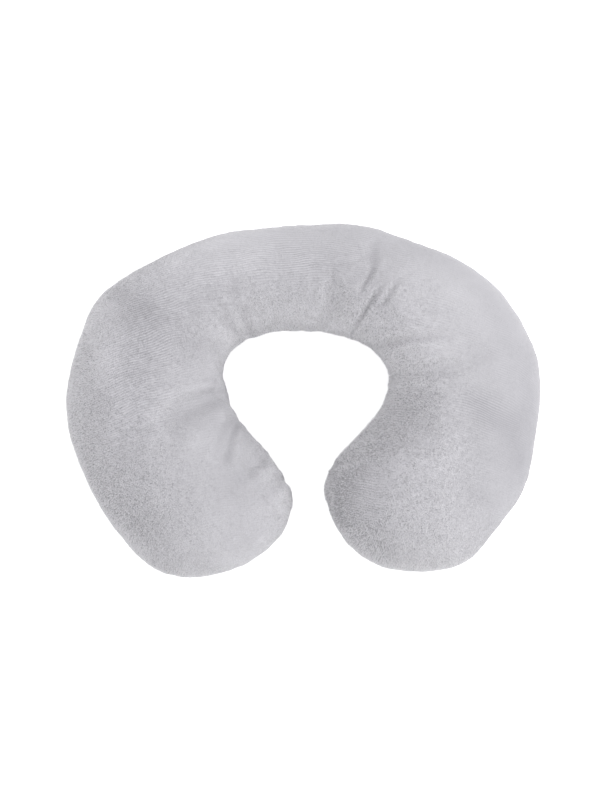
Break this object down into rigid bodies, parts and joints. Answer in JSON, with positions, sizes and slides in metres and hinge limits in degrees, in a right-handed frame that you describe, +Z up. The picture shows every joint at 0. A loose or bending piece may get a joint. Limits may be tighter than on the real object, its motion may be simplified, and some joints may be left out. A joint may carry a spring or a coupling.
{
  "type": "neck pillow",
  "caption": "Soft horseshoe neck pillow in a plush cover, with a crowned band behind the neck and full rounded arms that nearly meet in front.",
  "frame": {"origin": "middle of the footprint, on the surface that the pillow lies on", "axes": "+X from the left arm to the right arm seen from above, +Y towards the band behind the neck, +Z up out of the front panel"},
  "size_m": [0.4186, 0.3144, 0.0941],
  "materials": {
    "plush": "short brushed pile, matt, with a pale sheen at grazing angles"
  },
  "bodies": {
    "root": {"pillow": "plush"}
  },
  "joints": []
}
